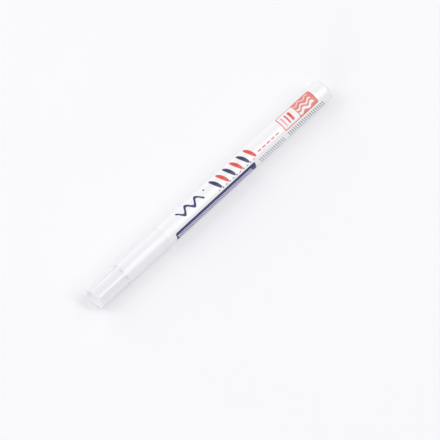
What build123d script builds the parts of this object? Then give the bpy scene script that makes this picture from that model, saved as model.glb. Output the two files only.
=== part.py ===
import os
from math import cos, pi, sin, sqrt

from build123d import *

# Slim valve-action paint marker, lying on its side with its cap on.
# The pen's axis runs along X, with the cap towards -X, and the floor is at Z = 0.
# Stations are lengths along the axis, counted from the cap's closed end.

# Overall sizes
overall_length = 134.0
body_diameter = 10.0

# Play between pieces
press_play = 0.03
slide_play = 0.05
seal_play = 0.08
valve_play = 0.03
seam_gap = 0.1
ball_play = 0.1
overrun = 2.0

# Barrel
barrel_wall = 1.0
tail_wall = 2.0
tail_edge_radius = 1.2
bore_end_chamfer = 1.0
barrel_lead_in = 0.1

# Cap shell
cap_length = 38.5
cap_edge_chamfer = 0.3
cap_mouth_chamfer = 0.15
cap_bore_lead = 4.1
cap_bore_taper = 3.0
cap_end_wall = 2.2
cap_core_depth = 5.65
cap_core_ledge = 0.8
dish_rim = 0.8
dish_slope = 1.0
dish_depth = 1.0

# Grip flutes on the cap's closed end
flute_count = 8
flute_turn = 6.0
flute_length = 15.4
flute_radius = 10.0
flute_depth = 0.32
flute_step_length = 0.3
flute_step_height = 0.2
flute_runout = 6.9

# Inner cap
inner_cap_length = 13.5
inner_cap_wall = 1.44
inner_cap_floor = 1.9
inner_cap_flare = 1.7
inner_cap_lip = 0.75

# Front section
neck_step = 0.2
nose_length = 9.0
nose_break_length = 4.5
nose_break_step = 0.6
nib_tube_wall = 0.7
nib_tube_length = 3.6
nib_tube_chamfer = 0.3
feed_groove_count = 3
feed_groove_diameter = 0.4
spigot_length = 9.0
spigot_relief = 0.15
spigot_wall = 0.6
spigot_rib_count = 2
spigot_rib_width = 0.8

# Nib
nib_diameter = 2.0
nib_length = 17.0
nib_reach = 2.6
nib_taper = 2.2
nib_point_diameter = 0.9
nib_point_chamfer = 0.2

# Valve
valve_setback = 2.0
seat_thickness = 1.2
seat_ledge = 0.6
seat_lip_width = 0.6
seat_lip_height = 0.3
cage_wall = 0.4
cage_length = 14.2
cage_floor = 1.4
window_count = 4
window_length = 4.6
window_width = 1.8
window_margin = 0.6
stem_cup_wall = 0.57
stem_cup_depth = 3.0
stem_cup_floor = 1.0
stem_cup_room = 1.4
stem_rod_room = 0.5
stem_head_room = 0.3
stem_head_thickness = 1.2
stem_tail_diameter = 1.9
stem_tail_reach = 0.8

# Valve spring
spring_wire_diameter = 0.4
spring_wire_sides = 6
spring_turns = 5
spring_steps_per_turn = 4

# Mixing ball
ball_diameter = 4.0

# Radii that several pieces share
body_radius = body_diameter / 2
bore_radius = body_radius - barrel_wall
neck_radius = bore_radius + neck_step
cap_bore_radius = neck_radius + slide_play
nib_radius = nib_diameter / 2
nib_hole_radius = nib_radius + slide_play
nib_tube_radius = nib_hole_radius + nib_tube_wall
seal_radius = nib_tube_radius + seal_play
inner_cap_radius = seal_radius + inner_cap_wall
cap_socket_radius = inner_cap_radius + press_play
spigot_radius = bore_radius - spigot_relief
valve_socket_radius = spigot_radius - spigot_wall
paint_way_radius = valve_socket_radius - seat_ledge
cage_radius = valve_socket_radius - press_play
cage_bore_radius = cage_radius - cage_wall
stem_head_radius = cage_bore_radius - stem_head_room
seat_hole_radius = stem_head_radius - seat_lip_width
stem_tail_radius = stem_tail_diameter / 2
ball_radius = ball_diameter / 2

# Stations that several pieces share
inner_cap_back = cap_end_wall + cap_core_depth
inner_cap_mouth = inner_cap_back + inner_cap_length
nose_front = inner_cap_mouth - inner_cap_lip
neck_front = nose_front + nose_length
tube_front = nose_front - nib_tube_length
nib_tip = tube_front - nib_reach
nib_back = nib_tip + nib_length
cup_front = nib_back + press_play - stem_cup_depth
shoulder = cap_length + seam_gap
spigot_end = shoulder + spigot_length
seat_front = shoulder + valve_setback
seat_back = seat_front + seat_thickness
head_front = seat_back + seat_lip_height + valve_play
head_back = head_front + stem_head_thickness
cage_end = seat_back + cage_length
cage_floor_front = cage_end - cage_floor
stem_end = cage_end + stem_tail_reach
bore_end = overall_length - tail_wall

# Half-plane of the turned profiles: station along x, radius along y
profile_plane = Plane(
    origin=(-overall_length / 2, 0, body_radius), x_dir=(1, 0, 0), z_dir=(0, -1, 0)
)
pen_axis = Axis(profile_plane.origin, profile_plane.x_dir)

os.makedirs("parts", exist_ok=True)

# Barrel: closed tube with a round-edged tail
with BuildPart() as barrel:
    with BuildSketch(profile_plane) as barrel_outline:
        with BuildLine():
            Polyline(
                (shoulder, 0),
                (shoulder, body_radius),
                (overall_length, body_radius),
                (overall_length, 0),
                close=True,
            )
        make_face()
        tail_corner = barrel_outline.vertices().group_by(Axis.X)[-1].sort_by(Axis.Y)[-1]
        fillet(tail_corner, radius=tail_edge_radius)
    revolve(axis=pen_axis)
    with BuildSketch(profile_plane) as bore_outline:
        with BuildLine():
            Polyline(
                (shoulder, 0),
                (shoulder, bore_radius + barrel_lead_in),
                (shoulder + barrel_lead_in, bore_radius),
                (bore_end, bore_radius),
                (bore_end, 0),
                close=True,
            )
        make_face()
        bore_corner = bore_outline.vertices().group_by(Axis.X)[-1].sort_by(Axis.Y)[-1]
        chamfer(bore_corner, length=bore_end_chamfer)
    revolve(axis=pen_axis, mode=Mode.SUBTRACT)

# Cap shell: bevelled closed end, stepped bore and dished end face
with BuildPart() as cap_shell:
    with BuildSketch(profile_plane) as cap_outline:
        with BuildLine():
            Polyline(
                (0, 0),
                (0, body_radius),
                (cap_length, body_radius),
                (cap_length, 0),
                close=True,
            )
        make_face()
        end_corner = cap_outline.vertices().group_by(Axis.X)[0].sort_by(Axis.Y)[-1]
        mouth_corner = cap_outline.vertices().group_by(Axis.X)[-1].sort_by(Axis.Y)[-1]
        chamfer(end_corner, length=cap_edge_chamfer)
        chamfer(mouth_corner, length=cap_mouth_chamfer)
    revolve(axis=pen_axis)
    cap_bore_end = neck_front - cap_bore_lead
    cap_core_radius = cap_socket_radius - cap_core_ledge
    with BuildSketch(profile_plane):
        with BuildLine():
            Polyline(
                (cap_length, 0),
                (cap_length, cap_bore_radius),
                (cap_bore_end, cap_bore_radius),
                (cap_bore_end - cap_bore_taper, cap_socket_radius),
                (inner_cap_back, cap_socket_radius),
                (inner_cap_back, cap_core_radius),
                (cap_end_wall, cap_core_radius),
                (cap_end_wall, 0),
                close=True,
            )
        make_face()
    revolve(axis=pen_axis, mode=Mode.SUBTRACT)
    dish_radius = body_radius - cap_edge_chamfer - dish_rim
    with BuildSketch(profile_plane):
        with BuildLine():
            Polyline(
                (0, 0),
                (0, dish_radius),
                (dish_depth, dish_radius - dish_slope),
                (dish_depth, 0),
                close=True,
            )
        make_face()
    revolve(axis=pen_axis, mode=Mode.SUBTRACT)

    # Each flute is cut by a turned cutter whose radius steps down, then tapers to nothing
    flute_floor = body_radius - flute_depth
    flute_axis_height = flute_floor + flute_radius
    ramp_start = flute_floor + flute_step_height
    ramp_rise = body_radius - ramp_start
    cutter_end = flute_length + 2 * flute_runout
    for flute in range(flute_count):
        flute_plane = profile_plane.rotated((flute_turn + flute * 360 / flute_count, 0, 0))
        flute_axis = Axis(
            flute_plane.from_local_coords((0, flute_axis_height, 0)), flute_plane.x_dir
        )
        with BuildSketch(flute_plane):
            with BuildLine():
                Polyline(
                    (-overrun, flute_axis_height),
                    (-overrun, flute_floor),
                    (flute_length - flute_step_length, flute_floor),
                    (flute_length, ramp_start),
                    (cutter_end, body_radius + ramp_rise),
                    (cutter_end, flute_axis_height),
                    close=True,
                )
            make_face()
        revolve(axis=flute_axis, mode=Mode.SUBTRACT)

# Inner cap: soft cup that seals round the nib tube
with BuildPart() as inner_cap:
    with BuildSketch(profile_plane):
        with BuildLine():
            Polyline(
                (inner_cap_back, 0),
                (inner_cap_back, inner_cap_radius),
                (inner_cap_mouth, inner_cap_radius),
                (inner_cap_mouth, seal_radius + inner_cap_lip),
                (inner_cap_mouth - inner_cap_flare, seal_radius),
                (inner_cap_back + inner_cap_floor, seal_radius),
                (inner_cap_back + inner_cap_floor, 0),
                close=True,
            )
        make_face()
    revolve(axis=pen_axis)

# Front section: nib tube, tapered nose, cap seat and ribbed spigot, bored in steps
with BuildPart() as front_section:
    with BuildSketch(profile_plane) as front_outline:
        with BuildLine():
            Polyline(
                (neck_front, neck_radius),
                (shoulder, neck_radius),
                (shoulder, spigot_radius),
                (spigot_end, spigot_radius),
                (spigot_end, 0),
                (tube_front, 0),
                (tube_front, nib_tube_radius),
                (nose_front, nib_tube_radius),
                (neck_front - nose_break_length, neck_radius - nose_break_step),
                close=True,
            )
        make_face()
        tube_corner = front_outline.vertices().group_by(Axis.X)[0].sort_by(Axis.Y)[-1]
        chamfer(tube_corner, length=nib_tube_chamfer)
    revolve(axis=pen_axis)
    rib_pitch = spigot_length / (spigot_rib_count + 1)
    with BuildSketch(profile_plane):
        for rib in range(spigot_rib_count):
            rib_middle = shoulder + (rib + 1) * rib_pitch
            with Locations((rib_middle, spigot_radius)):
                Rectangle(
                    spigot_rib_width,
                    spigot_relief - press_play,
                    align=(Align.CENTER, Align.MIN),
                )
    revolve(axis=pen_axis)
    nib_hole_end = cup_front - stem_cup_room
    with BuildSketch(profile_plane):
        with BuildLine():
            Polyline(
                (tube_front, 0),
                (tube_front, nib_hole_radius),
                (nib_hole_end, nib_hole_radius),
                (nib_hole_end, paint_way_radius),
                (seat_front, paint_way_radius),
                (seat_front, valve_socket_radius),
                (spigot_end, valve_socket_radius),
                (spigot_end, 0),
                close=True,
            )
        make_face()
    revolve(axis=pen_axis, mode=Mode.SUBTRACT)
    nib_face = Plane(
        origin=profile_plane.from_local_coords((tube_front, 0, 0)), z_dir=(1, 0, 0)
    )
    with BuildSketch(nib_face):
        with PolarLocations(nib_hole_radius, feed_groove_count):
            Circle(feed_groove_diameter / 2)
    extrude(amount=nib_hole_end - tube_front, mode=Mode.SUBTRACT)

# Nib: fibre rod with a tapered point
with BuildPart() as nib:
    with BuildSketch(profile_plane) as nib_outline:
        with BuildLine():
            Polyline(
                (nib_tip, 0),
                (nib_tip, nib_point_diameter / 2),
                (nib_tip + nib_taper, nib_radius),
                (nib_back, nib_radius),
                (nib_back, 0),
                close=True,
            )
        make_face()
        point_corner = nib_outline.vertices().group_by(Axis.X)[0].sort_by(Axis.Y)[-1]
        chamfer(point_corner, length=nib_point_chamfer)
    revolve(axis=pen_axis)

# Valve seat: soft ring with a sharp lip that the stem's head closes on
with BuildPart() as valve_seat:
    lip_middle = seat_hole_radius + seat_lip_width / 2
    with BuildSketch(profile_plane):
        with BuildLine():
            Polyline(
                (seat_front, seat_hole_radius),
                (seat_front, cage_radius),
                (seat_back, cage_radius),
                (seat_back, seat_hole_radius + seat_lip_width),
                (seat_back + seat_lip_height, lip_middle),
                (seat_back, seat_hole_radius),
                close=True,
            )
        make_face()
    revolve(axis=pen_axis)

# Valve stem: nib cup, rod, closing head and guide tail
with BuildPart() as valve_stem:
    cup_bore_radius = nib_radius + press_play
    cup_radius = cup_bore_radius + stem_cup_wall
    cup_bottom = nib_back + press_play
    cup_back = cup_bottom + stem_cup_floor
    rod_radius = seat_hole_radius - stem_rod_room
    with BuildSketch(profile_plane):
        with BuildLine():
            Polyline(
                (cup_front, cup_bore_radius),
                (cup_front, cup_radius),
                (cup_back, cup_radius),
                (cup_back, rod_radius),
                (head_front, rod_radius),
                (head_front, stem_head_radius),
                (head_back, stem_head_radius),
                (head_back, stem_tail_radius),
                (stem_end, stem_tail_radius),
                (stem_end, 0),
                (cup_bottom, 0),
                (cup_bottom, cup_bore_radius),
                close=True,
            )
        make_face()
    revolve(axis=pen_axis)

# Valve cage: cup that clamps the seat, with windows for the paint and a guide hole
with BuildPart() as valve_cage:
    guide_radius = stem_tail_radius + slide_play
    with BuildSketch(profile_plane):
        with BuildLine():
            Polyline(
                (seat_back, cage_bore_radius),
                (seat_back, cage_radius),
                (cage_end, cage_radius),
                (cage_end, guide_radius),
                (cage_floor_front, guide_radius),
                (cage_floor_front, cage_bore_radius),
                close=True,
            )
        make_face()
    revolve(axis=pen_axis)
    window_middle = spigot_end + window_margin + window_length / 2
    for window in range(window_count):
        window_plane = profile_plane.rotated((window * 360 / window_count, 0, 0))
        with BuildSketch(window_plane):
            with Locations((window_middle, 0)):
                Rectangle(window_length, window_width)
        extrude(amount=body_radius, mode=Mode.SUBTRACT)

# Valve spring: right-hand coil between the stem's head and the cage's floor
spring_wire_radius = spring_wire_diameter / 2
spring_coil_radius = (stem_tail_radius + cage_bore_radius) / 2
spring_front = head_back + spring_wire_radius + valve_play
spring_back = cage_floor_front - spring_wire_radius - valve_play
spring_pitch = (spring_back - spring_front) / spring_turns


def coil_point(turns):
    """Point of the wire's centre line after a number of turns."""
    angle = 2 * pi * turns
    return profile_plane.from_local_coords(
        Vector(
            spring_front + spring_pitch * turns,
            spring_coil_radius * cos(angle),
            spring_coil_radius * sin(angle),
        )
    )


def coil_direction(turns):
    """Direction of the wire's centre line after a number of turns."""
    angle = 2 * pi * turns
    ahead = Vector(
        spring_pitch,
        -2 * pi * spring_coil_radius * sin(angle),
        2 * pi * spring_coil_radius * cos(angle),
    )
    start = profile_plane.from_local_coords(Vector(0, 0, 0))
    return (profile_plane.from_local_coords(ahead) - start).normalized()


with BuildPart() as valve_spring:
    with BuildLine() as coil_line:
        for step in range(spring_turns * spring_steps_per_turn):
            first = coil_point(step / spring_steps_per_turn)
            last = coil_point((step + 1) / spring_steps_per_turn)
            first_way = coil_direction(step / spring_steps_per_turn)
            last_way = coil_direction((step + 1) / spring_steps_per_turn)
            # Two arcs that meet smoothly, each with tangent lengths equal to reach
            chord = last - first
            along = chord.dot(first_way + last_way)
            bend = 2 * (1 - first_way.dot(last_way))
            reach = (sqrt(along**2 + bend * chord.dot(chord)) - along) / bend
            middle = (first + last + (first_way - last_way) * reach) / 2
            middle_way = (last - last_way * reach) - (first + first_way * reach)
            TangentArc(first, middle, tangent=first_way)
            TangentArc(middle, last, tangent=middle_way)
    with BuildSketch(Plane(origin=coil_point(0), z_dir=coil_direction(0))):
        RegularPolygon(spring_wire_radius, spring_wire_sides)
    sweep(path=coil_line.line)

# Least gap between neighbouring turns of the coil, half a turn or more apart
gap_steps = 24
coil_samples = [coil_point(sample / gap_steps) for sample in range(spring_turns * gap_steps + 1)]
least_gap = min(
    (far - near).length
    for index, near in enumerate(coil_samples)
    for far in coil_samples[index + gap_steps // 2 :]
)
print(f"valve_spring: least gap to itself {least_gap - spring_wire_diameter:.2f} mm")

# Mixing ball: lies at the bottom of the paint chamber
with BuildPart() as mixing_ball:
    ball_station = (stem_end + bore_end) / 2
    ball_drop = bore_radius - ball_radius - ball_play
    with Locations(profile_plane.from_local_coords((ball_station, -ball_drop, 0))):
        Sphere(ball_radius)

# Names and files
pieces = {
    "cap_shell": cap_shell,
    "inner_cap": inner_cap,
    "barrel": barrel,
    "front_section": front_section,
    "nib": nib,
    "valve_seat": valve_seat,
    "valve_stem": valve_stem,
    "valve_spring": valve_spring,
    "valve_cage": valve_cage,
    "mixing_ball": mixing_ball,
}
for name, piece in pieces.items():
    piece.part.label = name
    export_step(piece.part, f"parts/{name}.step")
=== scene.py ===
import math

import bpy
from mathutils import Matrix, Vector


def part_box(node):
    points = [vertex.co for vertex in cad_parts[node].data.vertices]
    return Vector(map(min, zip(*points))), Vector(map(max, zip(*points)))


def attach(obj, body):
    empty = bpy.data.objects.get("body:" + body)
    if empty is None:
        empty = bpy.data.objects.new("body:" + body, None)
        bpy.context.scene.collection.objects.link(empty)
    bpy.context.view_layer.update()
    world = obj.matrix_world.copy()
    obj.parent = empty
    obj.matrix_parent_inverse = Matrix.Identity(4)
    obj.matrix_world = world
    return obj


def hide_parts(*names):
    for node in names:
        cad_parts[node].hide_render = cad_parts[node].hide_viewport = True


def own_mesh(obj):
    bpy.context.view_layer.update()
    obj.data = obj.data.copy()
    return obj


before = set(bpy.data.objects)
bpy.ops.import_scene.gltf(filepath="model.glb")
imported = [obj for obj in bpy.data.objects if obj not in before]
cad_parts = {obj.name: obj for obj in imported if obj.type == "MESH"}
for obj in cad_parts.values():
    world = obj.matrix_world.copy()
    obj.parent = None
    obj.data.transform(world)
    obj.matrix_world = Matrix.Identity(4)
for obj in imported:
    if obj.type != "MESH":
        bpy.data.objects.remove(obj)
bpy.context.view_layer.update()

MM = 0.001

# Sizes and places read from the solids
cap_low, cap_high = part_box("cap_shell")
barrel_low, barrel_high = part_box("barrel")
nib_low, nib_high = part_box("nib")
spring_low, spring_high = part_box("valve_spring")
PEN_FRONT = cap_low.x
CAP_MOUTH = cap_high.x
BARREL_FRONT = barrel_low.x
TAIL = barrel_high.x
AXIS_HEIGHT = (barrel_low.z + barrel_high.z) / 2
BODY_RADIUS = (barrel_high.z - barrel_low.z) / 2
NIB_RADIUS = (nib_high.z - nib_low.z) / 2

# Cap
CAP_BORE = 4.25 * MM
CAP_BORE_END = 25.5 * MM
CAP_SOCKET = 3.3 * MM
CAP_SOCKET_MOUTH = 22.5 * MM
CAP_SOCKET_END = 7.85 * MM
CAP_CORE = 2.5 * MM
CAP_END_WALL = 2.2 * MM
CAP_RIM_ROUND = 0.3 * MM
CAP_MOUTH_ROUND = 0.03 * MM
DISH_RADIUS = 3.9 * MM
DISH_FLOOR_RADIUS = 2.9 * MM
DISH_DEPTH = 1.0 * MM
DISH_ROUND = 0.3 * MM
CAP_STATION_STEP = 0.2 * MM
CAP_FIRST_STATION = 3

# Grip flutes
FLUTE_COUNT = 8
FLUTE_TURN = math.radians(6)
FLUTE_LENGTH = 15.4 * MM
FLUTE_RADIUS = 10.0 * MM
FLUTE_DEPTH = 0.32 * MM
FLUTE_STEP_LENGTH = 0.3 * MM
FLUTE_STEP_HEIGHT = 0.2 * MM
FLUTE_RUNOUT = 6.9 * MM
FLUTE_EDGE = 0.05 * MM

# Painted shade in the flutes, uneven in patches and darkest at the foot of their steps, and dust at the
# seam; the two share one colour
DUST_AND_SHADE_COLOUR = (0.42, 0.41, 0.39)
FLUTE_SHADE = 0.1
FLUTE_SHADE_PATCHES = 500.0
FLUTE_SHADE_LEAST = 0.7
FLUTE_SHADE_SPREAD = 0.6
FLUTE_SHADE_DEEPEST = 1.4
STEP_SHADE = 3.4
STEP_SHADE_REACH = 1.2 * MM
SEAM_DUST = 0.08
SEAM_DUST_PATCHES = 900.0
SEAM_DUST_REACH = 0.6 * MM

# Barrel and nib
BARREL_BORE = 4.0 * MM
BARREL_LEAD_IN = 0.1 * MM
BARREL_MOUTH_ROUND = 0.03 * MM
BARREL_LIP = 0.08 * MM
BARREL_LIP_RADIUS = 4.4 * MM
TAIL_WALL = 2.0 * MM
TAIL_ROUND = 1.2 * MM
BORE_END_CHAMFER = 1.0 * MM
NIB_TAPER = 2.2 * MM
NIB_POINT = 0.45 * MM
NIB_POINT_ROUND = 0.35 * MM
NIB_SOAK = 3.0 * MM

# Valve spring
SPRING_WIRE = 0.2 * MM
SPRING_TURNS = 5
SPRING_TURN_STEPS = 40
SPRING_WIRE_STEPS = 12

# Print on the barrel: ink film, and how far it reaches into the plastic
INK = 0.012 * MM
INK_OVER = 0.02 * MM
INK_SINK = 0.02 * MM

# Mesh of the turned pieces, with the narrow band that keeps a long side flat up to its edge
TURN_STEPS = 192
CAP_TURN_STEPS = 2 * TURN_STEPS
NIB_TURN_STEPS = TURN_STEPS // 3
CORNER_STEPS = 7
EDGE_BAND = 0.2 * MM
LEAST_RADIUS = 0.001 * MM
WELD = 0.0005 * MM
SHARP_ANGLE = math.radians(32)
WIRE_SHARP_ANGLE = 2 * SHARP_ANGLE

# Marks of handling: smudges, and hairlines along the axis and round it
SMUDGE_SIZE = 120.0
SMUDGE_EDGE = (0.48, 0.72)
HAIRLINES = 1500.0
HAIRLINE_EDGE = (0.66, 0.74)
HAIRLINE_LIES = ((0.06, 1.0, 1.0), (1.0, 0.05, 1.0))

# Finish of moulded plastic: how strongly each mark shows
PLASTIC_IOR = 1.49
PLASTIC_FLOW = 160.0
FLOW_LIE = (0.25, 1.0, 1.0)
PLASTIC_TONE = 0.5
PLASTIC_BUMP = 0.4
SCRATCH_SHADE = 0.35
SCRATCH_ROUGHNESS = 0.12
SMUDGE_ROUGHNESS = 0.08

# Finish of the ink
INK_IOR = 1.5
INK_PATCHES = 700.0
INK_THIN = 0.45
INK_BUMP = 0.3
INK_GRAIN_DEPTH = 0.01 * MM
INK_ROUGHNESS = 0.34
INK_SMUDGE_ROUGHNESS = 0.1
PINHOLES = 2600.0
PINHOLE_EDGE = (0.1, 0.04)
PINHOLE_COLOUR = (0.85, 0.85, 0.86)
PINHOLE_SHOW = 0.5

# Finish of the fibre, the rubber and the steel
FIBRE_IOR = 1.45
FIBRE_STRANDS = 2400.0
FIBRE_LIE = (0.03, 1.0, 1.0)
FIBRE_BUMP = 0.6
FIBRE_GRAIN_DEPTH = 0.03 * MM
FIBRE_SOAKED_ROUGHNESS = 0.45
FIBRE_DRY_GAIN = 0.35
RUBBER_IOR = 1.5
RUBBER_GRAIN = 3000.0
RUBBER_FLOW = 500.0
RUBBER_BUMP = 0.5
RUBBER_GRAIN_DEPTH = 0.02 * MM
RUBBER_ROUGHNESS = 0.6
RUBBER_BLOOM_ROUGHNESS = 0.2
STEEL_LINES = 1800.0
STEEL_LINE_ROUGHNESS = 0.12
STEEL_SMUDGE_SIZE = 300.0
STEEL_SMUDGE_ROUGHNESS = 0.1
STEEL_HAIRLINES = 2500.0


# Node trees


class Term:
    """A value in a node tree, which sums and functions can be written with."""

    def __init__(self, tree, socket):
        self.tree = tree
        self.socket = socket

    def math(self, operation, *others):
        made = self.tree.nodes.new("ShaderNodeMath")
        made.operation = operation
        for place, value in enumerate((self,) + others):
            put(self.tree, made.inputs[place], value)
        return Term(self.tree, made.outputs[0])

    def __add__(self, other):
        return self.math("ADD", other)

    def __sub__(self, other):
        return self.math("SUBTRACT", other)

    def __mul__(self, other):
        return self.math("MULTIPLY", other)

    def __truediv__(self, other):
        return self.math("DIVIDE", other)


def put(tree, socket, value):
    """Links a term or a socket to a socket, or sets the socket to a plain value."""
    if isinstance(value, Term):
        tree.links.new(value.socket, socket)
    elif isinstance(value, bpy.types.NodeSocket):
        tree.links.new(value, socket)
    else:
        socket.default_value = value


def add(tree, kind, values=None, **settings):
    """Adds a node with its settings and its inputs."""
    made = tree.nodes.new(kind)
    for name, value in settings.items():
        setattr(made, name, value)
    for key, value in (values or {}).items():
        put(tree, made.inputs[key], value)
    return made


def parts_of(tree, vector):
    """The x, y and z of a vector, as terms."""
    split = add(tree, "ShaderNodeSeparateXYZ", {"Vector": vector})
    return [Term(tree, socket) for socket in split.outputs]


def vector_of(tree, x, y, z):
    """A vector from three terms."""
    return add(tree, "ShaderNodeCombineXYZ", {"X": x, "Y": y, "Z": z}).outputs[0]


def move(tree, geometry, x, y, z):
    """Moves every point of a mesh or a curve to a new x, y and z."""
    place = vector_of(tree, x, y, z)
    return add(tree, "GeometryNodeSetPosition", {"Geometry": geometry, "Position": place}).outputs[0]


def noise(tree, vector, scale, detail, roughness=0.5):
    """Uneven patches over a surface, from 0 to 1."""
    values = {"Vector": vector, "Scale": scale, "Detail": detail, "Roughness": roughness}
    return Term(tree, add(tree, "ShaderNodeTexNoise", values).outputs[0])


def between(tree, value, low, high):
    """How far a value has come from a low mark to a high one, from 0 to 1."""
    made = add(tree, "ShaderNodeMapRange", {"Value": value, "From Min": low, "From Max": high})
    return Term(tree, made.outputs[0])


def stretched(tree, vector, lie):
    """Coordinates that draw a pattern out along the axis or round it."""
    return add(tree, "ShaderNodeMapping", {"Vector": vector, "Scale": lie}).outputs[0]


FLOAT = "NodeSocketFloat"
COUNT = "NodeSocketInt"
VECTOR = "NodeSocketVector"
GEOMETRY = "NodeSocketGeometry"
MATERIAL = "NodeSocketMaterial"


def new_tree(name, kind, inputs, outputs):
    """An empty node group with named sockets, and its inputs as terms by name."""
    tree = bpy.data.node_groups.new(name, kind)
    for direction, sockets in (("INPUT", inputs), ("OUTPUT", outputs)):
        for label, socket_kind in sockets.items():
            tree.interface.new_socket(label, in_out=direction, socket_type=socket_kind)
    given = tree.nodes.new("NodeGroupInput")
    terms = {label: Term(tree, given.outputs[label]) for label in inputs}
    return tree, terms


def close_tree(tree, results):
    """Links the results of a node group to its outputs."""
    end = tree.nodes.new("NodeGroupOutput")
    for label, value in results.items():
        put(tree, end.inputs[label], value)


def close_geometry(tree, geometry, given):
    """Smooths a tree's mesh apart from its sharp edges, and gives it its material."""
    angle = Term(tree, tree.nodes.new("GeometryNodeInputMeshEdgeAngle").outputs[0])
    smooth = angle.math("LESS_THAN", given["Sharp angle"])
    faces = add(tree, "GeometryNodeSetShadeSmooth", {"Geometry": geometry}, domain="FACE")
    edges = add(
        tree,
        "GeometryNodeSetShadeSmooth",
        {"Geometry": faces.outputs[0], "Shade Smooth": smooth},
        domain="EDGE",
    )
    real = add(tree, "GeometryNodeRealizeInstances", {"Geometry": edges.outputs[0]})
    painted = add(
        tree, "GeometryNodeSetMaterial", {"Geometry": real.outputs[0], "Material": given["Material"]}
    )
    close_tree(tree, {"Geometry": painted.outputs[0]})
    return tree


def turned_tree():
    """Turns a profile of stations and radii round the pen's axis."""
    tree, given = new_tree(
        "Turned piece",
        "GeometryNodeTree",
        {
            "Geometry": GEOMETRY,
            "Corner steps": COUNT,
            "Turn steps": COUNT,
            "Axis height": FLOAT,
            "Sharp angle": FLOAT,
            "Material": MATERIAL,
        },
        {"Geometry": GEOMETRY},
    )
    line = add(tree, "GeometryNodeMeshToCurve", {"Mesh": given["Geometry"]})
    corner = add(tree, "GeometryNodeInputNamedAttribute", {"Name": "round"}, data_type="FLOAT")
    profile = add(
        tree,
        "GeometryNodeFilletCurve",
        {
            "Curve": line.outputs[0],
            "Count": given["Corner steps"],
            "Radius": corner.outputs["Attribute"],
            "Limit Radius": True,
        },
        mode="POLY",
    )
    size = add(
        tree,
        "GeometryNodeAttributeDomainSize",
        {"Geometry": profile.outputs[0]},
        component="CURVE",
    )
    across = given["Turn steps"] + 1
    grid = add(
        tree,
        "GeometryNodeMeshGrid",
        {"Vertices X": size.outputs["Point Count"], "Vertices Y": across},
    )
    index = Term(tree, tree.nodes.new("GeometryNodeInputIndex").outputs[0])
    place = tree.nodes.new("GeometryNodeInputPosition")
    point = add(
        tree,
        "GeometryNodeSampleIndex",
        {
            "Geometry": profile.outputs[0],
            "Value": place.outputs[0],
            "Index": (index / across).math("FLOOR"),
        },
        data_type="FLOAT_VECTOR",
        domain="POINT",
    )
    station, radius, _ = parts_of(tree, point.outputs[0])
    angle = index.math("MODULO", across) / given["Turn steps"] * math.tau
    turned = move(
        tree,
        grid.outputs[0],
        station,
        radius * angle.math("SINE"),
        radius * angle.math("COSINE") + given["Axis height"],
    )
    closed = add(tree, "GeometryNodeMergeByDistance", {"Geometry": turned, "Distance": WELD})
    return close_geometry(tree, closed.outputs[0], given)


def flutes_tree():
    """Presses grip flutes into the closed end of a turned cap, each with a step and a long run-out."""
    tree, given = new_tree(
        "Grip flutes",
        "GeometryNodeTree",
        {
            "Geometry": GEOMETRY,
            "Count": COUNT,
            "Turn": FLOAT,
            "Start": FLOAT,
            "Length": FLOAT,
            "Radius": FLOAT,
            "Floor": FLOAT,
            "Step length": FLOAT,
            "Step height": FLOAT,
            "Run-out": FLOAT,
            "Body radius": FLOAT,
            "Edge": FLOAT,
            "Axis height": FLOAT,
            "Sharp angle": FLOAT,
            "Material": MATERIAL,
        },
        {"Geometry": GEOMETRY},
    )
    place = tree.nodes.new("GeometryNodeInputPosition")
    x, y, z = parts_of(tree, place.outputs[0])
    rise = z - given["Axis height"]
    radius = (y * y + rise * rise).math("SQRT").math("MAXIMUM", LEAST_RADIUS)
    station = x - given["Start"]

    # Angle from the middle of the nearest flute
    full_turn = add(tree, "ShaderNodeValue")
    full_turn.outputs[0].default_value = math.tau
    pitch = Term(tree, full_turn.outputs[0]) / given["Count"]
    turn = y.math("ARCTAN2", rise) + given["Turn"]
    angle = (turn / pitch).math("ROUND").math("MULTIPLY_ADD", pitch * -1, turn)

    # Radius of the cutter: full, then stepped down, then tapering out
    step = (station - given["Length"] + given["Step length"]) / given["Step length"]
    stepped = step.math("MAXIMUM", 0.0).math("MINIMUM", 1.0) * given["Step height"]
    left = given["Body radius"] - given["Floor"] - given["Step height"]
    ramp = ((station - given["Length"]) / given["Run-out"]).math("MAXIMUM", 0.0) * left
    cutter = given["Radius"] - stepped - ramp
    centre = given["Floor"] + given["Radius"]
    side = centre * angle.math("SINE")
    reach = (cutter * cutter - side * side).math("MAXIMUM", 0.0).math("SQRT")
    cut = centre * angle.math("COSINE") - reach
    pressed = radius.math("SMOOTH_MIN", cut, given["Edge"])
    share = pressed / radius
    moved = move(tree, given["Geometry"], x, y * share, rise * share + given["Axis height"])
    return close_geometry(tree, moved, given)


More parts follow.
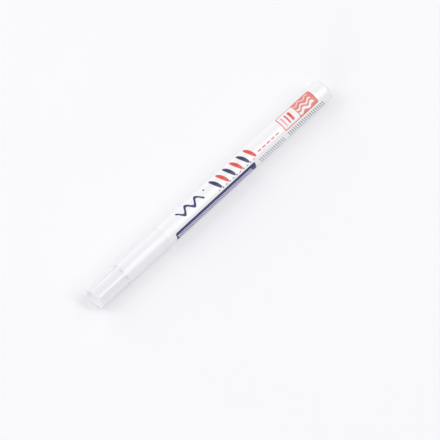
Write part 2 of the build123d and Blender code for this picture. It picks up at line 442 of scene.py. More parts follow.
def print_tree():
    """Lays a row of ink patches round the barrel: bars, dots, dabs and waves."""
    tree, given = new_tree(
        "Ink patches",
        "GeometryNodeTree",
        {
            "Length": FLOAT,
            "Width": FLOAT,
            "Corner": FLOAT,
            "Dab": FLOAT,
            "Wave": FLOAT,
            "Wave length": FLOAT,
            "Lean": FLOAT,
            "Steps along": COUNT,
            "Steps across": COUNT,
            "Count": COUNT,
            "Pitch": FLOAT,
            "Station": FLOAT,
            "Angle": FLOAT,
            "Film": FLOAT,
            "Sink": FLOAT,
            "Body radius": FLOAT,
            "Axis height": FLOAT,
            "Sharp angle": FLOAT,
            "Material": MATERIAL,
        },
        {"Geometry": GEOMETRY},
    )
    block = add(
        tree,
        "GeometryNodeMeshCube",
        {
            "Size": vector_of(tree, given["Length"], given["Width"], given["Film"] + given["Sink"]),
            "Vertices X": given["Steps along"] + 1,
            "Vertices Y": given["Steps across"] + 1,
            "Vertices Z": 2,
        },
    )
    place = tree.nodes.new("GeometryNodeInputPosition")
    along, across, up = parts_of(tree, place.outputs[0])

    # Outline of one patch: round corners, or the oval of a dab
    half_length = given["Length"] / 2
    half_width = given["Width"] / 2
    past = (along.math("ABSOLUTE") - half_length + given["Corner"]).math("MAXIMUM", 0.0)
    corner = (given["Corner"] * given["Corner"] - past * past).math("MAXIMUM", 0.0).math("SQRT")
    rounded = (half_width - given["Corner"] + corner) / half_width
    share = along / half_length
    oval = (share * share * -1 + 1).math("MAXIMUM", 0.0).math("SQRT")
    narrowed = rounded + (oval - rounded) * given["Dab"]
    wave = (along / given["Wave length"] * math.tau).math("SINE") * given["Wave"]
    shifted = across * narrowed + wave

    # Lean of the patch in the flat print
    cosine = given["Lean"].math("COSINE")
    sine = given["Lean"].math("SINE")
    patch = move(
        tree,
        block.outputs[0],
        along * cosine - shifted * sine,
        along * sine + shifted * cosine,
        up,
    )
    row = add(
        tree,
        "GeometryNodeMeshLine",
        {
            "Count": given["Count"],
            "Start Location": vector_of(tree, given["Station"], 0.0, 0.0),
            "Offset": vector_of(tree, given["Pitch"], 0.0, 0.0),
        },
        mode="OFFSET",
    )
    patches = add(
        tree, "GeometryNodeInstanceOnPoints", {"Points": row.outputs[0], "Instance": patch}
    )
    flat = add(tree, "GeometryNodeRealizeInstances", {"Geometry": patches.outputs[0]})

    # Flat print wrapped round the barrel
    station, arc, height = parts_of(tree, place.outputs[0])
    angle = arc / given["Body radius"] + given["Angle"]
    radius = height + given["Body radius"] + (given["Film"] - given["Sink"]) / 2
    wrapped = move(
        tree,
        flat.outputs[0],
        station,
        radius * angle.math("SINE") * -1,
        radius * angle.math("COSINE") + given["Axis height"],
    )
    return close_geometry(tree, wrapped, given)


def coil_tree():
    """Winds a round wire into a coil along the pen's axis."""
    tree, given = new_tree(
        "Coil spring",
        "GeometryNodeTree",
        {
            "Turns": FLOAT,
            "Turn steps": COUNT,
            "Coil radius": FLOAT,
            "Wire radius": FLOAT,
            "Wire steps": COUNT,
            "Start": FLOAT,
            "Length": FLOAT,
            "Axis height": FLOAT,
            "Sharp angle": FLOAT,
            "Material": MATERIAL,
        },
        {"Geometry": GEOMETRY},
    )
    spiral = add(
        tree,
        "GeometryNodeCurveSpiral",
        {
            "Resolution": given["Turn steps"],
            "Rotations": given["Turns"],
            "Start Radius": given["Coil radius"],
            "End Radius": given["Coil radius"],
            "Height": given["Length"],
        },
    )
    place = tree.nodes.new("GeometryNodeInputPosition")
    x, y, z = parts_of(tree, place.outputs[0])
    laid = move(tree, spiral.outputs[0], z + given["Start"], y * -1, x + given["Axis height"])
    wire = add(
        tree,
        "GeometryNodeCurvePrimitiveCircle",
        {"Resolution": given["Wire steps"], "Radius": given["Wire radius"]},
        mode="RADIUS",
    )
    tube = add(
        tree,
        "GeometryNodeCurveToMesh",
        {"Curve": laid, "Profile Curve": wire.outputs[0], "Fill Caps": True},
    )
    return close_geometry(tree, tube.outputs[0], given)


def profile_mesh(name, corners):
    """A line of (x, radius, round) corners for the turning tree."""
    mesh = bpy.data.meshes.new(name)
    points = [(x, radius, 0.0) for x, radius, rounding in corners]
    mesh.from_pydata(points, [(i, i + 1) for i in range(len(points) - 1)], [])
    rounds = mesh.attributes.new("round", "FLOAT", "POINT")
    rounds.data.foreach_set("value", [rounding for x, radius, rounding in corners])
    return mesh


def grow(name, steps, mesh=None):
    """Runs geometry trees, each with its values, on a new object and keeps the plain mesh."""
    piece = bpy.data.objects.new(name, mesh or bpy.data.meshes.new(name))
    bpy.context.scene.collection.objects.link(piece)
    for tree, values in steps:
        modifier = piece.modifiers.new(tree.name, "NODES")
        modifier.node_group = tree
        for item in tree.interface.items_tree:
            if item.in_out == "INPUT" and item.name in values:
                modifier[item.identifier] = values[item.name]
    depsgraph = bpy.context.evaluated_depsgraph_get()
    made = bpy.data.meshes.new_from_object(piece.evaluated_get(depsgraph), depsgraph=depsgraph)
    piece.modifiers.clear()
    piece.data = made
    made.name = name
    return piece


def seat(piece, body, slot, *nodes):
    """Ties a piece to the body that it moves with and hides the solids that it stands for; its finish
    slot is not used.
    """
    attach(piece, body)
    if nodes:
        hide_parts(*nodes)


# Shader groups


def round_coordinates():
    """Coordinates that follow a round piece: along the axis, round it, and out from it."""
    tree, given = new_tree(
        "Round coordinates",
        "ShaderNodeTree",
        {"Vector": VECTOR, "Axis height": FLOAT, "Radius": FLOAT},
        {"Vector": VECTOR},
    )
    x, y, z = parts_of(tree, given["Vector"])
    rise = z - given["Axis height"]
    arc = y.math("ARCTAN2", rise) * given["Radius"]
    out = (y * y + rise * rise).math("SQRT")
    close_tree(tree, {"Vector": vector_of(tree, x, arc, out)})
    return tree


def moulded_skin():
    """Fine unevenness and slow tone of a moulded surface."""
    tree, given = new_tree(
        "Moulded skin",
        "ShaderNodeTree",
        {"Vector": VECTOR, "Grain": FLOAT, "Flow": FLOAT},
        {"Height": FLOAT, "Tone": FLOAT},
    )
    grain = noise(tree, given["Vector"], given["Grain"], detail=3.0, roughness=0.55)
    flow = noise(tree, stretched(tree, given["Vector"], FLOW_LIE), given["Flow"], detail=2.0)
    close_tree(tree, {"Height": grain, "Tone": flow})
    return tree


def handling():
    """Marks of handling: greasy smudges, and hairlines along and round the piece."""
    tree, given = new_tree(
        "Handling",
        "ShaderNodeTree",
        {"Vector": VECTOR, "Smudge size": FLOAT, "Hairlines": FLOAT},
        {"Smudge": FLOAT, "Scratch": FLOAT},
    )
    blot = noise(tree, given["Vector"], given["Smudge size"], detail=4.0)
    masks = []
    for lie in HAIRLINE_LIES:
        streak = noise(tree, stretched(tree, given["Vector"], lie), given["Hairlines"], detail=1.0)
        masks.append(between(tree, streak, *HAIRLINE_EDGE))
    scratch = masks[0].math("MAXIMUM", masks[1])
    close_tree(tree, {"Smudge": between(tree, blot, *SMUDGE_EDGE), "Scratch": scratch})
    return tree


def seam_grime():
    """Dust that gathers beside a seam across the axis."""
    tree, given = new_tree(
        "Seam grime",
        "ShaderNodeTree",
        {"Vector": VECTOR, "Seam": FLOAT, "Reach": FLOAT},
        {"Mask": FLOAT},
    )
    x = parts_of(tree, given["Vector"])[0]
    near = (x - given["Seam"]).math("ABSOLUTE") / given["Reach"]
    fade = (near * -1 + 1).math("MAXIMUM", 0.0)
    patchy = noise(tree, given["Vector"], SEAM_DUST_PATCHES, detail=3.0)
    close_tree(tree, {"Mask": fade * patchy})
    return tree


def painted_flute_shade():
    """Painted shade in the grip flutes, uneven in patches, darkest at the foot of their steps, and not
    on the end face.
    """
    tree, given = new_tree(
        "Painted flute shade",
        "ShaderNodeTree",
        {
            "Vector": VECTOR,
            "Start": FLOAT,
            "Body radius": FLOAT,
            "Depth": FLOAT,
            "Step foot": FLOAT,
            "Step reach": FLOAT,
            "Step shade gain": FLOAT,
        },
        {"Mask": FLOAT},
    )
    x, _, out = parts_of(tree, given["Vector"])
    station = x - given["Start"]
    sunk = ((given["Body radius"] - out) / given["Depth"]).math("MAXIMUM", 0.0)
    outside = sunk.math("LESS_THAN", FLUTE_SHADE_DEEPEST)
    past_rim = (station / given["Depth"] - 1).math("MAXIMUM", 0.0).math("MINIMUM", 1.0)
    from_step = (station - given["Step foot"]).math("ABSOLUTE") / given["Step reach"]
    step_darkening = (from_step * -1 + 1).math("MAXIMUM", 0.0) * given["Step shade gain"] + 1
    patchy = noise(tree, given["Vector"], FLUTE_SHADE_PATCHES, detail=3.0)
    uneven = patchy * FLUTE_SHADE_SPREAD + FLUTE_SHADE_LEAST
    in_flute = sunk.math("MINIMUM", 1.0) * outside * past_rim
    close_tree(tree, {"Mask": in_flute * step_darkening * uneven})
    return tree


ROUND = round_coordinates()
SKIN = moulded_skin()
HANDLING = handling()
SEAM_GRIME = seam_grime()
FLUTE_PAINTED_SHADE = painted_flute_shade()


def use(tree, group, values):
    """Places a shader group in a material."""
    made = tree.nodes.new("ShaderNodeGroup")
    made.node_tree = group
    for key, value in values.items():
        put(tree, made.inputs[key], value)
    return made


# Places of the colour sockets on a Mix node
MIX_FIRST = 6
MIX_SECOND = 7
MIX_RESULT = 2


def tint(tree, base, other, mask):
    """Mixes a second colour over a first by a mask."""
    mix = add(tree, "ShaderNodeMix", data_type="RGBA")
    put(tree, mix.inputs["Factor"], mask)
    for place, value in ((MIX_FIRST, base), (MIX_SECOND, other)):
        colour = value if isinstance(value, bpy.types.NodeSocket) else (*value, 1.0)
        put(tree, mix.inputs[place], colour)
    return mix.outputs[MIX_RESULT]


def new_material(name, settings):
    """A material with its shader and its plain settings, and coordinates that follow the pen."""
    material = bpy.data.materials.new(name)
    material.use_nodes = True
    tree = material.node_tree
    shader = tree.nodes["Principled BSDF"]
    for key, value in settings.items():
        shader.inputs[key].default_value = value
    place = tree.nodes.new("ShaderNodeTexCoord").outputs["Object"]
    follow = use(
        tree, ROUND, {"Vector": place, "Axis height": AXIS_HEIGHT, "Radius": BODY_RADIUS}
    ).outputs[0]
    return material, tree, shader, follow


def raise_grain(tree, shader, height, strength, depth):
    """Raises a fine grain on a surface."""
    bump = add(
        tree, "ShaderNodeBump", {"Strength": strength, "Distance": depth, "Height": height}
    )
    put(tree, shader.inputs["Normal"], bump.outputs[0])


def handled(tree, follow, smudge_size, hairlines):
    """The smudges and scratches of a handled surface, as terms."""
    marks = use(
        tree, HANDLING, {"Vector": follow, "Smudge size": smudge_size, "Hairlines": hairlines}
    )
    return [Term(tree, marks.outputs[label]) for label in ("Smudge", "Scratch")]


def moulded_plastic(name, colour, shade, roughness, grain, depth, seam=None, flute_depth=None):
    """Moulded plastic: slow tone, fine skin, smudges, hairlines, dust at a seam and painted shade in
    flutes.
    """
    material, tree, shader, follow = new_material(name, {"IOR": PLASTIC_IOR})
    skin = use(tree, SKIN, {"Vector": follow, "Grain": grain, "Flow": PLASTIC_FLOW})
    smudge, scratch = handled(tree, follow, SMUDGE_SIZE, HAIRLINES)
    base = tint(tree, colour, shade, Term(tree, skin.outputs["Tone"]) * PLASTIC_TONE)
    worn = tint(tree, base, shade, scratch * SCRATCH_SHADE)
    if seam is not None:
        dust = use(tree, SEAM_GRIME, {"Vector": follow, "Seam": seam, "Reach": SEAM_DUST_REACH})
        worn = tint(tree, worn, DUST_AND_SHADE_COLOUR, Term(tree, dust.outputs[0]) * SEAM_DUST)
    # Painted shade in the flutes, darkest at the foot of their steps
    if flute_depth is not None:
        painted_shade = use(
            tree,
            FLUTE_PAINTED_SHADE,
            {
                "Vector": follow,
                "Start": PEN_FRONT,
                "Body radius": BODY_RADIUS,
                "Depth": flute_depth,
                "Step foot": FLUTE_LENGTH - FLUTE_STEP_LENGTH,
                "Step reach": STEP_SHADE_REACH,
                "Step shade gain": STEP_SHADE,
            },
        )
        worn = tint(tree, worn, DUST_AND_SHADE_COLOUR, Term(tree, painted_shade.outputs[0]) * FLUTE_SHADE)
    put(tree, shader.inputs["Base Color"], worn)
    gloss = smudge * SMUDGE_ROUGHNESS + roughness
    put(tree, shader.inputs["Roughness"], gloss + scratch * SCRATCH_ROUGHNESS)
    raise_grain(tree, shader, skin.outputs["Height"], PLASTIC_BUMP, depth)
    return material


def ink(name, colour, thin):
    """Printed ink: uneven density, pinholes that show the plastic, and a soft gloss."""
    material, tree, shader, follow = new_material(name, {"IOR": INK_IOR})
    density = noise(tree, follow, INK_PATCHES, detail=4.0)
    spots = add(tree, "ShaderNodeTexVoronoi", {"Vector": follow, "Scale": PINHOLES})
    hole = between(tree, spots.outputs["Distance"], *PINHOLE_EDGE)
    uneven = tint(tree, colour, thin, density * INK_THIN)
    pricked = tint(tree, uneven, PINHOLE_COLOUR, hole * PINHOLE_SHOW)
    put(tree, shader.inputs["Base Color"], pricked)
    smudge, _ = handled(tree, follow, SMUDGE_SIZE, HAIRLINES)
    put(tree, shader.inputs["Roughness"], smudge * INK_SMUDGE_ROUGHNESS + INK_ROUGHNESS)
    raise_grain(tree, shader, density, INK_BUMP, INK_GRAIN_DEPTH)
    return material


def fibre(name, colour, shade):
    """Bonded fibre: fine strands along the nib, soaked with paint at the point."""
    material, tree, shader, follow = new_material(name, {"IOR": FIBRE_IOR})
    lie = stretched(tree, follow, FIBRE_LIE)
    strands = noise(tree, lie, FIBRE_STRANDS, detail=4.0, roughness=0.7)
    put(tree, shader.inputs["Base Color"], tint(tree, colour, shade, strands))
    x = parts_of(tree, follow)[0]
    dry = ((x - nib_low.x) / NIB_SOAK).math("MINIMUM", 1.0)
    put(tree, shader.inputs["Roughness"], dry * FIBRE_DRY_GAIN + FIBRE_SOAKED_ROUGHNESS)
    raise_grain(tree, shader, strands, FIBRE_BUMP, FIBRE_GRAIN_DEPTH)
    return material


def rubber(name, colour, dust):
    """Soft black rubber with a bloom of dust."""
    material, tree, shader, follow = new_material(name, {"IOR": RUBBER_IOR})
    skin = use(tree, SKIN, {"Vector": follow, "Grain": RUBBER_GRAIN, "Flow": RUBBER_FLOW})
    bloom = Term(tree, skin.outputs["Tone"])
    put(tree, shader.inputs["Base Color"], tint(tree, colour, dust, bloom))
    put(tree, shader.inputs["Roughness"], bloom * RUBBER_BLOOM_ROUGHNESS + RUBBER_ROUGHNESS)
    raise_grain(tree, shader, skin.outputs["Height"], RUBBER_BUMP, RUBBER_GRAIN_DEPTH)
    return material


def steel(name, colour, shade, roughness, lie):
    """Bright steel with drawing or rolling lines."""
    material, tree, shader, follow = new_material(name, {"Metallic": 1.0})
    lines = noise(tree, stretched(tree, follow, lie), STEEL_LINES, detail=3.0)
    smudge, _ = handled(tree, follow, STEEL_SMUDGE_SIZE, STEEL_HAIRLINES)
    put(tree, shader.inputs["Base Color"], tint(tree, colour, shade, lines))
    worn = lines * STEEL_LINE_ROUGHNESS + smudge * STEEL_SMUDGE_ROUGHNESS
    put(tree, shader.inputs["Roughness"], worn + roughness)
    return material


# The cap's finish carries painted shade in its flutes
CAP_PLASTIC = moulded_plastic(
    "cap_plastic_finish",
    colour=(0.867, 0.859, 0.888),
    shade=(0.823, 0.815, 0.845),
    roughness=0.16,
    grain=2600.0,
    depth=0.006 * MM,
    seam=CAP_MOUTH,
    flute_depth=FLUTE_DEPTH,
)
BARREL_PLASTIC = moulded_plastic(
    "barrel_plastic_finish",
    colour=(0.882, 0.882, 0.892),
    shade=(0.843, 0.843, 0.853),
    roughness=0.16,
    grain=2200.0,
    depth=0.005 * MM,
    seam=BARREL_FRONT,
)
NOSE_PLASTIC = moulded_plastic(
    "nose_plastic_finish",
    colour=(0.86, 0.86, 0.86),
    shade=(0.78, 0.78, 0.77),
    roughness=0.3,
    grain=2600.0,
    depth=0.008 * MM,
)
SEAL_PLASTIC = moulded_plastic(
    "seal_plastic_finish",
    colour=(0.80, 0.80, 0.76),
    shade=(0.70, 0.70, 0.66),
    roughness=0.45,
    grain=3200.0,
    depth=0.015 * MM,
)
VALVE_PLASTIC = moulded_plastic(
    "valve_plastic_finish",
    colour=(0.78, 0.78, 0.74),
    shade=(0.68, 0.68, 0.64),
    roughness=0.42,
    grain=3200.0,
    depth=0.015 * MM,
)
NIB_FIBRE = fibre("nib_fibre_finish", (0.90, 0.89, 0.85), (0.70, 0.68, 0.62))
SEAT_RUBBER = rubber("seat_rubber_finish", (0.012, 0.012, 0.013), (0.05, 0.05, 0.052))
SPRING_STEEL = steel(
    "spring_steel_finish",
    colour=(0.62, 0.62, 0.63),
    shade=(0.42, 0.42, 0.43),
    roughness=0.22,
    lie=(0.1, 1.0, 1.0),
)
BALL_STEEL = steel(
    "ball_steel_finish",
    colour=(0.72, 0.72, 0.73),
    shade=(0.6, 0.6, 0.61),
    roughness=0.06,
    lie=(1.0, 1.0, 1.0),
)
NAVY_INK = ink("navy_ink_finish", (0.016, 0.019, 0.10), (0.05, 0.055, 0.17))
RED_INK = ink("red_ink_finish", (0.68, 0.055, 0.04), (0.76, 0.14, 0.10))
SALMON_INK = ink("salmon_ink_finish", (0.74, 0.20, 0.16), (0.80, 0.34, 0.29))
LILAC_INK = ink("lilac_ink_finish", (0.62, 0.60, 0.80), (0.70, 0.68, 0.84))
WHITE_INK = ink("white_ink_finish", (0.86, 0.86, 0.87), (0.80, 0.80, 0.82))
GREY_INK = ink("grey_ink_finish", (0.10, 0.11, 0.17), (0.22, 0.23, 0.3))


# Turned pieces

TURNED = turned_tree()
FLUTES = flutes_tree()
PRINT = print_tree()
COIL = coil_tree()


def turned_values(material, turn_steps):
    """Settings of the turning tree for one piece."""
    return {
        "Corner steps": CORNER_STEPS,
        "Turn steps": turn_steps,
        "Axis height": AXIS_HEIGHT,
        "Sharp angle": SHARP_ANGLE,
        "Material": material,
    }


def cap_corners():
    """Profile of the cap, from the middle of its end face, over its side and into its bore."""
    corners = [
        (DISH_DEPTH, 0.0, 0.0),
        (DISH_DEPTH, DISH_FLOOR_RADIUS, DISH_ROUND),
        (0.0, DISH_RADIUS, DISH_ROUND),
        (0.0, BODY_RADIUS, CAP_RIM_ROUND),
    ]
    flutes_end = FLUTE_LENGTH + FLUTE_RUNOUT
    stations = int(flutes_end / CAP_STATION_STEP)
    for step in range(CAP_FIRST_STATION, CAP_FIRST_STATION + stations):
        corners.append((step * CAP_STATION_STEP, BODY_RADIUS, 0.0))
    cap_length = CAP_MOUTH - PEN_FRONT
    corners += [
        (cap_length - EDGE_BAND, BODY_RADIUS, 0.0),
        (cap_length, BODY_RADIUS, CAP_MOUTH_ROUND),
        (cap_length, CAP_BORE, CAP_MOUTH_ROUND),
        (CAP_BORE_END, CAP_BORE, 0.0),
        (CAP_SOCKET_MOUTH, CAP_SOCKET, 0.0),
        (CAP_SOCKET_END, CAP_SOCKET, 0.0),
        (CAP_SOCKET_END, CAP_CORE, 0.0),
        (CAP_END_WALL, CAP_CORE, 0.0),
        (CAP_END_WALL, 0.0, 0.0),
    ]
    return [(PEN_FRONT + station, radius, rounding) for station, radius, rounding in corners]


cap = grow(
    "cap",
    [
        (TURNED, turned_values(CAP_PLASTIC, CAP_TURN_STEPS)),
        (
            FLUTES,
            {
                "Count": FLUTE_COUNT,
                "Turn": FLUTE_TURN,
                "Start": PEN_FRONT,
                "Length": FLUTE_LENGTH,
                "Radius": FLUTE_RADIUS,
                "Floor": BODY_RADIUS - FLUTE_DEPTH,
                "Step length": FLUTE_STEP_LENGTH,
                "Step height": FLUTE_STEP_HEIGHT,
                "Run-out": FLUTE_RUNOUT,
                "Body radius": BODY_RADIUS,
                "Edge": FLUTE_EDGE,
                "Axis height": AXIS_HEIGHT,
                "Sharp angle": SHARP_ANGLE,
                "Material": CAP_PLASTIC,
            },
        ),
    ],
    profile_mesh("cap_profile", cap_corners()),
)
seat(cap, "cap", "cap_plastic", "cap_shell")

bore_end = TAIL - TAIL_WALL
barrel = grow(
    "barrel_tube",
    [(TURNED, turned_values(BARREL_PLASTIC, TURN_STEPS))],
    profile_mesh(
        "barrel_profile",
        [
            (bore_end, 0.0, 0.0),
            (bore_end, BARREL_BORE - BORE_END_CHAMFER, 0.0),
            (bore_end - BORE_END_CHAMFER, BARREL_BORE, 0.0),
            (BARREL_FRONT + BARREL_LEAD_IN, BARREL_BORE, 0.0),
            (BARREL_FRONT, BARREL_BORE + BARREL_LEAD_IN, 0.0),
            (BARREL_FRONT, BARREL_LIP_RADIUS, 0.0),
            (BARREL_FRONT - BARREL_LIP, BARREL_LIP_RADIUS, 0.0),
            (BARREL_FRONT - BARREL_LIP, BODY_RADIUS, BARREL_MOUTH_ROUND),
            (BARREL_FRONT + EDGE_BAND, BODY_RADIUS, 0.0),
            (TAIL - TAIL_ROUND - EDGE_BAND, BODY_RADIUS, 0.0),
            (TAIL, BODY_RADIUS, TAIL_ROUND),
            (TAIL, 0.0, 0.0),
        ],
    ),
)
seat(barrel, "pen", "barrel_plastic", "barrel")

nib = grow(
    "nib_rod",
    [(TURNED, turned_values(NIB_FIBRE, NIB_TURN_STEPS))],
    profile_mesh(
        "nib_profile",
        [
            (nib_low.x, 0.0, 0.0),
            (nib_low.x, NIB_POINT, NIB_POINT_ROUND),
            (nib_low.x + NIB_TAPER, NIB_RADIUS, 0.0),
            (nib_high.x, NIB_RADIUS, 0.0),
            (nib_high.x, 0.0, 0.0),
        ],
    ),
)
seat(nib, "nib", "nib_fibre", "nib")

# Coil spring, as long as the solid spring
spring_length = spring_high.x - spring_low.x - 2 * SPRING_WIRE
spring = grow(
    "coil_spring",
    [
        (
            COIL,
            {
                "Turns": float(SPRING_TURNS),
                "Turn steps": SPRING_TURN_STEPS,
                "Coil radius": (spring_high.z - spring_low.z) / 2 - SPRING_WIRE,
                "Wire radius": SPRING_WIRE,
                "Wire steps": SPRING_WIRE_STEPS,
                "Start": spring_low.x + SPRING_WIRE,
                "Length": spring_length,
                "Axis height": AXIS_HEIGHT,
                "Sharp angle": WIRE_SHARP_ANGLE,
                "Material": SPRING_STEEL,
            },
        )
    ],
)
seat(spring, "pen", "spring_steel", "valve_spring")
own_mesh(spring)


# Print: plain stripes, strokes, dabs and dots

FINE_TICKS_START = 91.2
TAIL_TICKS_START = 108.2
TICK_ANGLES = (64, 76, 90)
TICK_STAGGER = 0.4
BLOCK_ANGLE = 7.5
BLOCK_LINE_WIDTHS = (0.35, 0.7, 1.2)
BLOCK_LINE_START = -16
BLOCK_LINE_TURN = 22
WINDOW_BAR_START = 109.4
WINDOW_BAR_PITCH = 2.0


def print_row(
    name,
    material,
    station,
    angle,
    length,
    width,
    corner=0.0,
    dab=0.0,
    wave=0.0,
    wave_length=1.0,
    lean=0.0,
    steps=12,
    rows=6,
    count=1,
    pitch=0.0,
    film=INK,
):
    """A row of ink patches, in millimetres and degrees, from the middle of its first patch."""
    values = {
        "Length": length * MM,
        "Width": width * MM,
        "Corner": corner * MM,
        "Dab": dab,
        "Wave": wave * MM,
        "Wave length": wave_length * MM,
        "Lean": math.radians(lean),
        "Steps along": steps,
        "Steps across": rows,
        "Count": count,
        "Pitch": pitch * MM,
        "Station": PEN_FRONT + station * MM,
        "Angle": math.radians(angle),
        "Film": film,
        "Sink": INK_SINK,
        "Body radius": BODY_RADIUS,
        "Axis height": AXIS_HEIGHT,
        "Sharp angle": SHARP_ANGLE,
        "Material": material,
    }
    seat(grow(name, [(PRINT, values)]), "pen", "barrel_plastic")


print_row(
    "side_band", NAVY_INK, station=65.5, angle=85, length=46.0, width=5.6,
    corner=0.3, steps=60, rows=18,
)
print_row(
    "band_hatching", LILAC_INK, station=44.2, angle=90, length=4.5, width=0.42,
    lean=62, count=55, pitch=0.78, rows=2, film=INK_OVER,
)
print_row(
    "wave_stroke", NAVY_INK, station=55.0, angle=-1, length=14.0, width=1.5,
    dab=0.4, wave=1.4, wave_length=5.6, steps=64, rows=5,
)
print_row(
    "stroke_dots", NAVY_INK, station=64.0, angle=-14, length=0.8, width=0.8,
    corner=0.4, steps=10, rows=4,
)
for name, material, station in (("navy_dabs", NAVY_INK, 69.4), ("red_dabs", RED_INK, 73.4)):
    print_row(
        name, material, station, angle=4, length=6.3, width=1.7,
        dab=0.85, lean=68, count=3, pitch=8.0, steps=28, rows=8,
    )
for name, material, station, count in (
    ("red_dots", RED_INK, 69.0, 6),
    ("navy_dots", NAVY_INK, 71.0, 5),
):
    print_row(
        name, material, station, angle=41, length=0.6, width=0.6,
        corner=0.3, count=count, pitch=4.0, steps=8, rows=4,
    )
print_row(
    "red_dashes", RED_INK, station=93.2, angle=28, length=2.0, width=0.5,
    corner=0.25, count=5, pitch=2.6, rows=3,
)
for row, angle in enumerate(TICK_ANGLES):
    print_row(
        f"fine_ticks_{row + 1}", GREY_INK, station=FINE_TICKS_START + row * TICK_STAGGER,
        angle=angle, length=0.9, width=0.3,
        lean=62, count=14, pitch=1.05, steps=3, rows=2,
    )
    print_row(
        f"tail_ticks_{row + 1}", GREY_INK, station=TAIL_TICKS_START + row * TICK_STAGGER,
        angle=angle, length=0.9, width=0.38,
        lean=62, count=20, pitch=1.05, steps=3, rows=2,
    )
print_row(
    "block", RED_INK, station=117.1, angle=BLOCK_ANGLE, length=19.4, width=7.0,
    corner=0.6, steps=60, rows=20,
)
print_row(
    "block_window", WHITE_INK, station=112.1, angle=BLOCK_ANGLE, length=8.6, width=6.3,
    corner=0.3, steps=24, rows=18, film=INK_OVER,
)
print_row(
    "block_field", SALMON_INK, station=121.4, angle=BLOCK_ANGLE, length=10.0, width=6.3,
    corner=0.3, steps=24, rows=18, film=INK_OVER,
)
for row, width in enumerate(BLOCK_LINE_WIDTHS):
    print_row(
        f"block_lines_{row + 1}", WHITE_INK, station=121.0,
        angle=BLOCK_LINE_START + row * BLOCK_LINE_TURN, length=8.6, width=width,
        corner=width / 2, wave=0.55, wave_length=4.3, steps=40, rows=4, film=INK_OVER + INK,
    )
    print_row(
        f"window_bars_{row + 1}", RED_INK, station=WINDOW_BAR_START + row * WINDOW_BAR_PITCH,
        angle=BLOCK_ANGLE, length=4.4, width=width,
        corner=width / 2, lean=90, steps=16, rows=4, film=INK_OVER + INK,
    )


# Finishes of the solids that stay as they are

for node, material in {
    "inner_cap": SEAL_PLASTIC,
    "front_section": NOSE_PLASTIC,
    "valve_seat": SEAT_RUBBER,
    "valve_stem": VALVE_PLASTIC,
    "valve_cage": VALVE_PLASTIC,
    "mixing_ball": BALL_STEEL,
}.items():
    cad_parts[node].data.materials[0] = material


# Camera: long lens, from above and to the side

VIEW_TURN = math.radians(46)
VIEW_HEIGHT = math.radians(62.75)
VIEW_DISTANCE = 1.8
FIELD = 178.7 * MM
SENSOR = 36.0
LENS_NEAR = 0.05
LENS_FAR = 20.0
SHIFT_RIGHT = 3.81 * MM
SHIFT_DOWN = 11.06 * MM

right = Vector((math.cos(VIEW_TURN), -math.sin(VIEW_TURN), 0))
away = Vector((math.sin(VIEW_TURN), math.cos(VIEW_TURN), 0))
ahead = Vector(
    (
        math.sin(VIEW_TURN) * math.cos(VIEW_HEIGHT),
        math.cos(VIEW_TURN) * math.cos(VIEW_HEIGHT),
        -math.sin(VIEW_HEIGHT),
    )
)
up = right.cross(ahead)
pen_middle = Vector(((PEN_FRONT + TAIL) / 2, 0, AXIS_HEIGHT))
target = pen_middle + right * SHIFT_RIGHT - up * SHIFT_DOWN


def stand(name, data, place, x_axis, y_axis):
    """Puts a camera or a lamp at a place, with the way its x and y axes point."""
    thing = bpy.data.objects.new(name, data)
    bpy.context.scene.collection.objects.link(thing)
    turn = Matrix((x_axis, y_axis, x_axis.cross(y_axis))).transposed()
    thing.matrix_world = Matrix.Translation(place) @ turn.to_4x4()
    return thing


lens = bpy.data.cameras.new("camera")
lens.sensor_width = SENSOR
lens.lens = SENSOR * VIEW_DISTANCE / FIELD
lens.clip_start = LENS_NEAR
lens.clip_end = LENS_FAR
camera = stand("camera", lens, target - ahead * VIEW_DISTANCE, right, up)
bpy.context.scene.camera = camera


# Studio: pale floor and sky, softboxes above the right, the left and the tail, and low fills

FLOOR_SIZE = 6.0
FLOOR_PAPER = (0.93, 0.93, 0.945)
FLOOR_MOTTLE = (0.915, 0.915, 0.93)
FLOOR_MOTTLE_SIZE = 18.0
FLOOR_ROUGHNESS = 0.9
FLOOR_WHITE = 0.2
PAPER_WHITE = (0.965, 0.965, 0.985, 1.0)
LAMP_DISTANCE = 2.5
SKY = 0.486
SKY_COLOUR = (0.985, 0.972, 1.0, 1.0)
BACKDROP_COLOUR = (0.94, 0.94, 0.95, 1.0)

floor_mesh = bpy.data.meshes.new("floor")
half = FLOOR_SIZE / 2
floor_mesh.from_pydata(
    [(-half, -half, 0), (half, -half, 0), (half, half, 0), (-half, half, 0)], [], [(0, 1, 2, 3)]
)
floor = bpy.data.objects.new("floor", floor_mesh)
bpy.context.scene.collection.objects.link(floor)

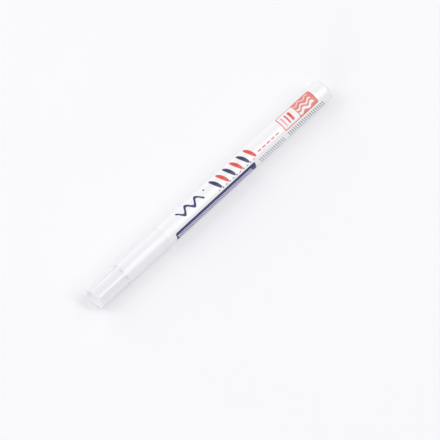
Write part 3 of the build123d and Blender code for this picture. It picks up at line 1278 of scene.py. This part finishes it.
floor_paper, paper, paper_shader, paper_follow = new_material(
    "floor_paper", {"Specular IOR Level": 0.0, "Roughness": FLOOR_ROUGHNESS}
)
mottle = noise(paper, paper_follow, FLOOR_MOTTLE_SIZE, detail=2.0)
put(paper, paper_shader.inputs["Base Color"], tint(paper, FLOOR_PAPER, FLOOR_MOTTLE, mottle))
paper_white = add(paper, "ShaderNodeEmission", {"Color": PAPER_WHITE, "Strength": 1.0})
camera_ray = Term(paper, paper.nodes.new("ShaderNodeLightPath").outputs["Is Camera Ray"])
paper_mix = add(
    paper,
    "ShaderNodeMixShader",
    {0: camera_ray * FLOOR_WHITE, 1: paper_shader.outputs[0], 2: paper_white.outputs[0]},
)
put(paper, paper.nodes["Material Output"].inputs["Surface"], paper_mix.outputs[0])
floor_mesh.materials.append(floor_paper)


def softbox(name, bearing, height, across, along, radiance):
    """A soft lamp aimed at the pen, by its bearing from the picture's right and its height."""
    level = right * math.cos(math.radians(bearing)) + away * math.sin(math.radians(bearing))
    raised = math.radians(height)
    way = level * math.cos(raised) + Vector((0, 0, math.sin(raised)))
    y_axis = (Vector((1, 0, 0)) - way * way.x).normalized()
    lamp = bpy.data.lights.new(name, "AREA")
    lamp.shape = "RECTANGLE"
    lamp.size = across * LAMP_DISTANCE
    lamp.size_y = along * LAMP_DISTANCE
    lamp.energy = radiance * math.pi * lamp.size * lamp.size_y
    stand(name, lamp, pen_middle + way * LAMP_DISTANCE, y_axis.cross(way), y_axis)


softbox("main_softbox", bearing=-4, height=54, across=0.88, along=0.24, radiance=4.35)
softbox("left_softbox", bearing=178, height=45, across=0.60, along=0.60, radiance=2.5)
softbox("back_fill", bearing=130, height=20, across=0.60, along=0.60, radiance=1.3)
softbox("front_fill", bearing=246, height=12, across=1.00, along=0.36, radiance=2.25)
softbox("right_fill", bearing=0, height=14, across=0.60, along=0.60, radiance=0.2)
softbox("far_softbox", bearing=46, height=42, across=0.60, along=0.60, radiance=0.88)

world = bpy.data.worlds.new("studio")
world.use_nodes = True
bpy.context.scene.world = world
sky = world.node_tree
path = sky.nodes.new("ShaderNodeLightPath")
seen = Term(sky, path.outputs["Is Camera Ray"])
for ray in ("Is Glossy Ray", "Is Transmission Ray"):
    seen = seen.math("MAXIMUM", path.outputs[ray])
sky_light = sky.nodes["Background"]
sky_light.inputs["Color"].default_value = SKY_COLOUR
sky_light.inputs["Strength"].default_value = SKY
backdrop = add(sky, "ShaderNodeBackground", {"Color": BACKDROP_COLOUR, "Strength": 1.0})
shown = add(
    sky, "ShaderNodeMixShader", {0: seen, 1: sky_light.outputs[0], 2: backdrop.outputs[0]}
)
put(sky, sky.nodes["World Output"].inputs["Surface"], shown.outputs[0])

bpy.context.scene.view_settings.view_transform = "Standard"
